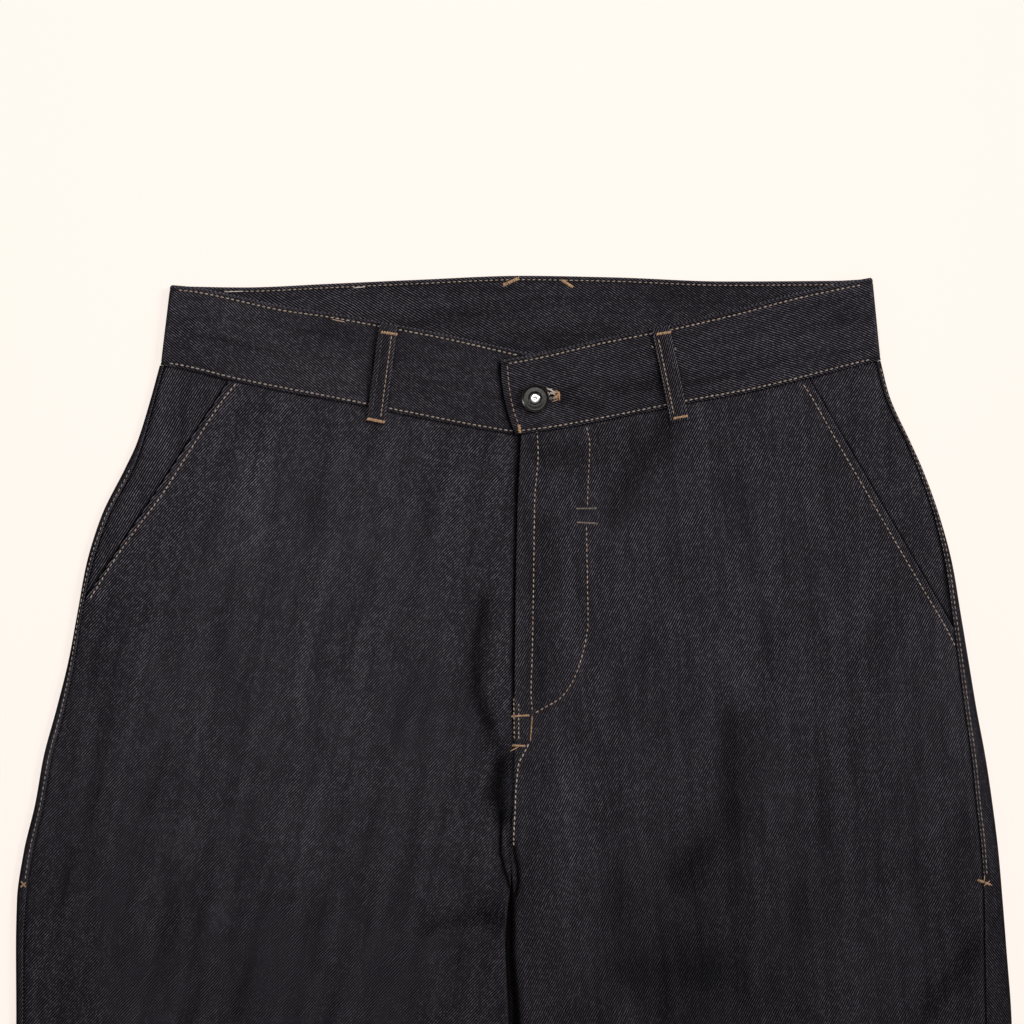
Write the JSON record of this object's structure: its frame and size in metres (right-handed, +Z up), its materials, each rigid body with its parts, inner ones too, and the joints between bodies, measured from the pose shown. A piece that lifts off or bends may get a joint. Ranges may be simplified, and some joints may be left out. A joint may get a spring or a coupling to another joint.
{
  "type": "wide-leg jeans laid flat",
  "caption": "High-waisted wide-leg jeans in black denim, laid flat with the front up: shaped waistband with button, belt loops, slanted front pockets and a fly.",
  "frame": {"origin": "on the table under the garment, at the centre of its length and its width", "axes": "+Y along the legs from the hems to the waist, +Z up from the table through the garment to its front, +X to the wearer's left, the right-hand side of a viewer who looks at the front"},
  "size_m": [0.6198, 1.1123, 0.0122],
  "materials": {
    "denim": "washed black denim twill",
    "nickel": "bright nickel",
    "gunmetal": "dark gunmetal"
  },
  "bodies": {
    "root": {"front_right": "denim", "front_left": "denim", "back_right": "denim", "back_left": "denim", "waistband": "denim", "pocket_facing_right": "denim", "pocket_facing_left": "denim", "belt_loop_right": "denim", "belt_loop_left": "denim", "button_stud": "nickel", "button_ring": "gunmetal"}
  },
  "joints": []
}
